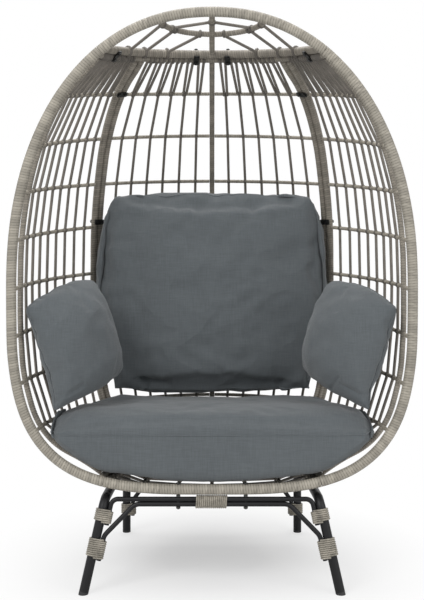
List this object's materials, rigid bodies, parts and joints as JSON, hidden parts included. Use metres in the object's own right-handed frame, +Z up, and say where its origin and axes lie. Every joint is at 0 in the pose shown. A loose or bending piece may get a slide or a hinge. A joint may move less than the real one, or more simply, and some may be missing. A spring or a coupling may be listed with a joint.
{
  "type": "egg chair",
  "caption": "Free-standing egg-shaped lounge chair: bolted wicker-wrapped tube shell with woven strands, low black steel base, seat cushion, back cushion and side pillows.",
  "frame": {"origin": "middle of the bounding box on the floor that the feet stand on", "axes": "+Z up, the open front faces -Y, +X to the right as seen from the front"},
  "size_m": [1.1, 0.6808, 1.554],
  "materials": {
    "wicker_wrap": "resin wicker strip, matt",
    "pale_hoop": "resin wicker, matt",
    "woven_strand": "resin wicker, matt",
    "binding_strip": "resin wicker strip, matt",
    "black_powder_coat": "black powder coat",
    "zinc_steel": "dark zinc",
    "foot_plug": "moulded",
    "grey_cloth": "woven outdoor cloth"
  },
  "bodies": {
    "root": {"back_brace": "black_powder_coat", "back_centre_rib": "wicker_wrap", "back_crossbar": "black_powder_coat", "back_cushion": "grey_cloth", "back_frame_tubes": "wicker_wrap", "back_hoops": "pale_hoop", "back_left_foot": "foot_plug", "back_lower_left_binding": "binding_strip", "back_lower_right_binding": "binding_strip", "back_right_foot": "foot_plug", "back_strands": "woven_strand", "back_upper_left_binding": "binding_strip", "back_upper_right_binding": "binding_strip", "cap_middle_rod": "wicker_wrap", "cap_rear_tube": "wicker_wrap", "cap_rim_tube": "wicker_wrap", "cap_spine_rods": "wicker_wrap", "cap_strands": "woven_strand", "front_brace": "black_powder_coat", "front_centre_binding": "binding_strip", "front_crossbar": "black_powder_coat", "front_left_foot": "foot_plug", "front_lower_left_binding": "binding_strip", "front_lower_right_binding": "binding_strip", "front_right_foot": "foot_plug", "front_upper_left_binding": "binding_strip", "front_upper_right_binding": "binding_strip", "left_leg_frame": "black_powder_coat", "left_side_frame_tubes": "wicker_wrap", "left_side_hoops": "pale_hoop", "left_side_inner_post": "wicker_wrap", "left_side_rim_tube": "wicker_wrap", "left_side_strands": "woven_strand", "panel_bolts": "zinc_steel", "panel_brackets": "zinc_steel", "panel_nuts": "zinc_steel", "right_leg_frame": "black_powder_coat", "right_side_frame_tubes": "wicker_wrap", "right_side_hoops": "pale_hoop", "right_side_inner_post": "wicker_wrap", "right_side_rim_tube": "wicker_wrap", "right_side_strands": "woven_strand", "rim_spigots": "zinc_steel", "seat_cushion": "grey_cloth", "seat_ribs": "pale_hoop", "seat_rim_tube": "wicker_wrap", "seat_ring_tube": "wicker_wrap", "seat_strands": "woven_strand", "shell_bolts": "zinc_steel", "shell_nuts": "zinc_steel", "shell_spacers": "zinc_steel"},
    "left_pillow_body": {"left_pillow": "grey_cloth"},
    "right_pillow_body": {"right_pillow": "grey_cloth"}
  },
  "joints": [
    {"name": "left_pillow_lift", "type": "slide", "parent": "root", "child": "left_pillow_body", "axis": [0.3996, -0.7992, 0.4491], "range_m": [0, 0.4]},
    {"name": "right_pillow_lift", "type": "slide", "parent": "root", "child": "right_pillow_body", "axis": [-0.3996, -0.7992, 0.4491], "range_m": [0, 0.4]}
  ]
}
